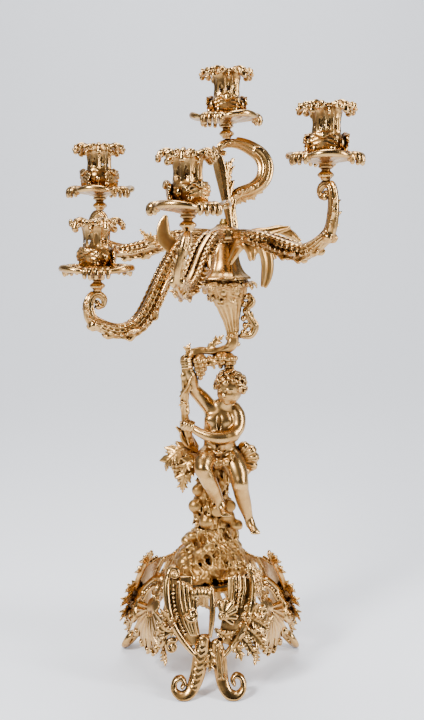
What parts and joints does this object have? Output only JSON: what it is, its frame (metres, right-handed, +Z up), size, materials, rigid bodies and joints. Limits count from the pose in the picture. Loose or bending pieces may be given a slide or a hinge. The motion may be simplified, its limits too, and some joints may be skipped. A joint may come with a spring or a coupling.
{
  "type": "candelabra",
  "caption": "Rococo table candelabra in gilt bronze: scrolled tripod base, rock and seated child holding a vine that carries branching scroll arms with candle nozzles.",
  "frame": {"origin": "on the floor under the middle of the whole outline", "axes": "+Z up along the height; the front leg and the front light face -Y; +X to the viewer's right"},
  "size_m": [0.3274, 0.3031, 0.6735],
  "materials": {
    "burnished_gilt": "gilt bronze, burnished on the highlights",
    "matt_gilt": "gilt bronze, punched matt",
    "figure_gilt": "gilt bronze, smooth and softly polished",
    "foliage_gilt": "gilt bronze, chased, darker in the hollows",
    "raw_brass": "plain turned brass, hidden in use"
  },
  "bodies": {
    "root": {"arm_front": "burnished_gilt", "arm_left_front": "burnished_gilt", "arm_left_rear": "burnished_gilt", "arm_right": "burnished_gilt", "arm_top": "burnished_gilt", "base_leg_front": "burnished_gilt", "base_leg_rear_left": "burnished_gilt", "base_leg_rear_right": "burnished_gilt", "base_panel_left": "burnished_gilt", "base_panel_rear": "burnished_gilt", "base_panel_right": "burnished_gilt", "base_ring": "burnished_gilt", "base_screws": "raw_brass", "bell_canopy": "burnished_gilt", "branch_hub": "burnished_gilt", "child_arm_lowered": "figure_gilt", "child_arm_raised": "figure_gilt", "child_head": "figure_gilt", "child_leg_left": "figure_gilt", "child_leg_right": "figure_gilt", "child_torso": "figure_gilt", "cornucopia_cup": "burnished_gilt", "cup_crest": "burnished_gilt", "grapes_high": "foliage_gilt", "grapes_low": "foliage_gilt", "hub_bolt": "raw_brass", "knop_front": "burnished_gilt", "knop_left_front": "burnished_gilt", "knop_left_rear": "burnished_gilt", "knop_right": "burnished_gilt", "knop_top": "burnished_gilt", "leaf_back": "foliage_gilt", "leaf_garland": "foliage_gilt", "leaf_left": "foliage_gilt", "leaf_right": "foliage_gilt", "nozzle_front": "burnished_gilt", "nozzle_left_front": "burnished_gilt", "nozzle_left_rear": "burnished_gilt", "nozzle_right": "burnished_gilt", "nozzle_top": "burnished_gilt", "pan_front": "burnished_gilt", "pan_left_front": "burnished_gilt", "pan_left_rear": "burnished_gilt", "pan_right": "burnished_gilt", "pan_top": "burnished_gilt", "rock_mound": "matt_gilt", "rock_scallop": "matt_gilt", "tie_nut": "raw_brass", "tie_rod": "raw_brass", "tie_washer": "raw_brass", "tree_stump": "matt_gilt", "vine_branch": "foliage_gilt", "vine_leaf_low": "foliage_gilt", "vine_leaf_reed": "foliage_gilt", "vine_stem": "foliage_gilt"},
    "liner_right": {"liner_right": "burnished_gilt"},
    "liner_front": {"liner_front": "burnished_gilt"},
    "liner_left_front": {"liner_left_front": "burnished_gilt"},
    "liner_left_rear": {"liner_left_rear": "burnished_gilt"},
    "liner_top": {"liner_top": "burnished_gilt"}
  },
  "joints": [
    {"name": "liner_right_lift", "type": "slide", "parent": "root", "child": "liner_right", "axis": [0, 0, 1], "range_m": [0, 0.05]},
    {"name": "liner_front_lift", "type": "slide", "parent": "root", "child": "liner_front", "axis": [0, 0, 1], "range_m": [0, 0.05]},
    {"name": "liner_left_front_lift", "type": "slide", "parent": "root", "child": "liner_left_front", "axis": [0, 0, 1], "range_m": [0, 0.05]},
    {"name": "liner_left_rear_lift", "type": "slide", "parent": "root", "child": "liner_left_rear", "axis": [0, 0, 1], "range_m": [0, 0.05]},
    {"name": "liner_top_lift", "type": "slide", "parent": "root", "child": "liner_top", "axis": [0, 0, 1], "range_m": [0, 0.05]}
  ]
}
